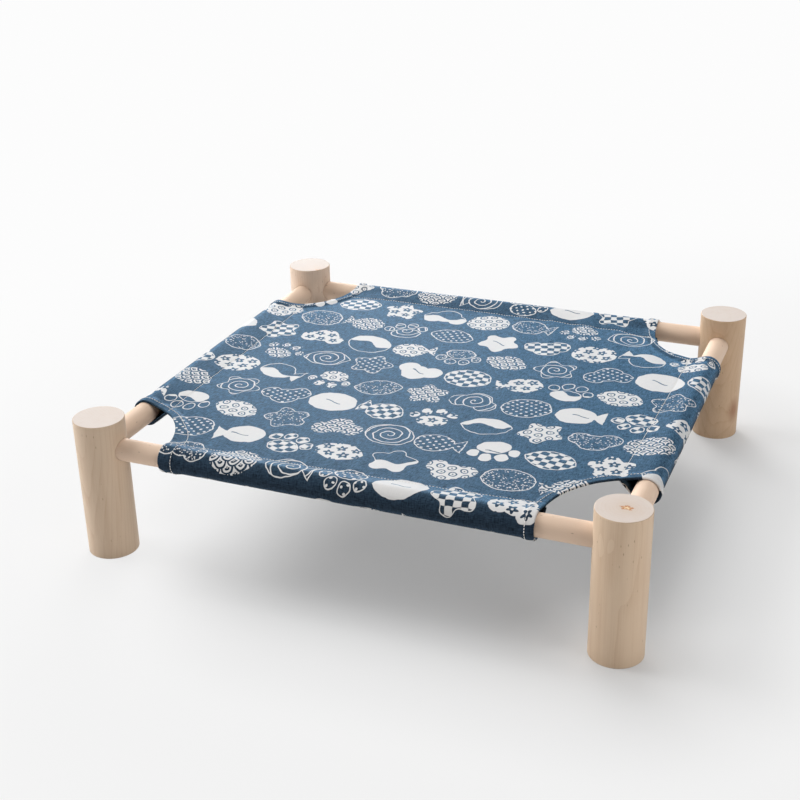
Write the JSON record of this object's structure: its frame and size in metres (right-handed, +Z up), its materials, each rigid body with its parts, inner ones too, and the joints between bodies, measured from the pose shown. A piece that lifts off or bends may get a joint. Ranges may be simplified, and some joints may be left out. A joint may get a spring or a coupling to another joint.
{
  "type": "cat bed",
  "caption": "Low raised pet bed: round wooden legs and rails plug together and a sewn canvas sling is stretched between the rails.",
  "frame": {"origin": "on the floor, midway between the four legs", "axes": "+X along the front rail to the right, +Y to the back, +Z up"},
  "size_m": [0.566, 0.521, 0.145],
  "materials": {
    "leg_wood": "sanded, unfinished pine",
    "rail_wood": "sanded, unfinished pine dowel",
    "canvas": "plain-weave cotton canvas with an off-white print",
    "thread": "spun sewing thread"
  },
  "bodies": {
    "root": {"leg_front_left": "leg_wood", "leg_front_right": "leg_wood", "leg_back_left": "leg_wood", "leg_back_right": "leg_wood", "rail_front": "rail_wood", "rail_back": "rail_wood", "rail_left": "rail_wood", "rail_right": "rail_wood", "canvas_sling": "canvas", "seam_thread_front": "thread", "seam_thread_back": "thread", "seam_thread_left": "thread", "seam_thread_right": "thread", "hem_thread_front_left": "thread", "hem_thread_front_right": "thread", "hem_thread_back_left": "thread", "hem_thread_back_right": "thread"}
  },
  "joints": []
}
